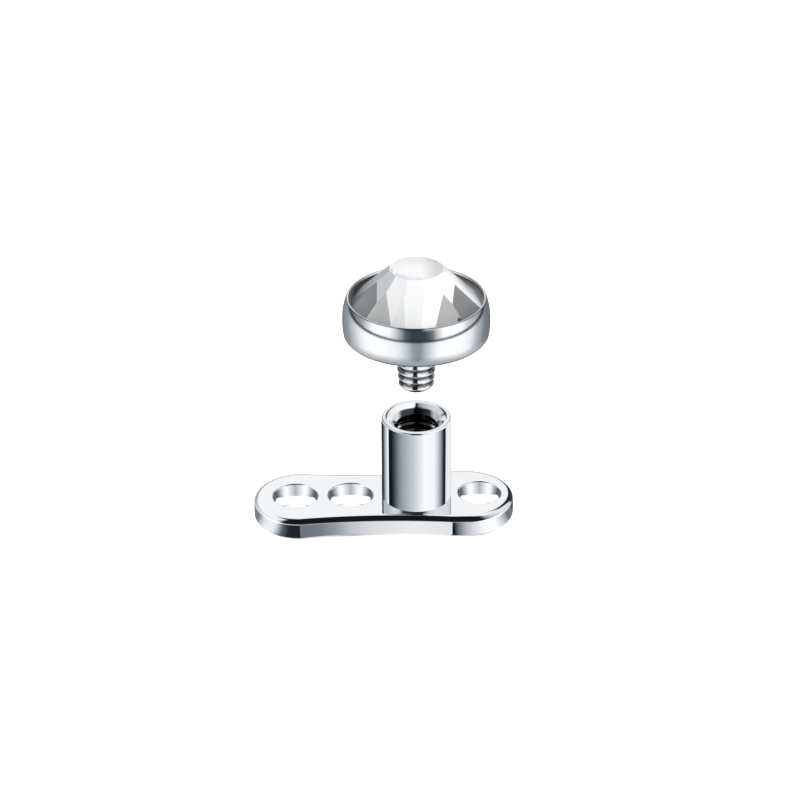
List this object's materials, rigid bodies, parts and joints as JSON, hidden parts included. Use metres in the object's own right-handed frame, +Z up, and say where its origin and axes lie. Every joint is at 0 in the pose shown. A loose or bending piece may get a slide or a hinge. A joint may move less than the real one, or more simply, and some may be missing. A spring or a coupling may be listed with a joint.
{
  "type": "dermal anchor",
  "caption": "Dermal anchor for body jewellery: a flat holed foot with an upright threaded post, and a threaded disc top with a faceted crystal, shown lifted off.",
  "frame": {"origin": "on the axis of the post and its thread, level with the flat underside of the foot plate", "axes": "+X along the foot towards the end with the single hole, +Y across the foot, +Z up along the post towards the jewel"},
  "size_m": [0.0073, 0.004, 0.0078],
  "materials": {
    "polished_titanium": "mirror-polished bare titanium",
    "clear_crystal": "cut clear crystal with a foiled back, polished facets"
  },
  "bodies": {
    "anchor": {"anchor_base": "polished_titanium"},
    "top": {"threaded_top": "polished_titanium", "crystal": "clear_crystal"}
  },
  "joints": [
    {"name": "top_travel", "type": "slide", "parent": "anchor", "child": "top", "axis": [0, 0, 1], "range_m": [-0.00259, 0]}
  ]
}
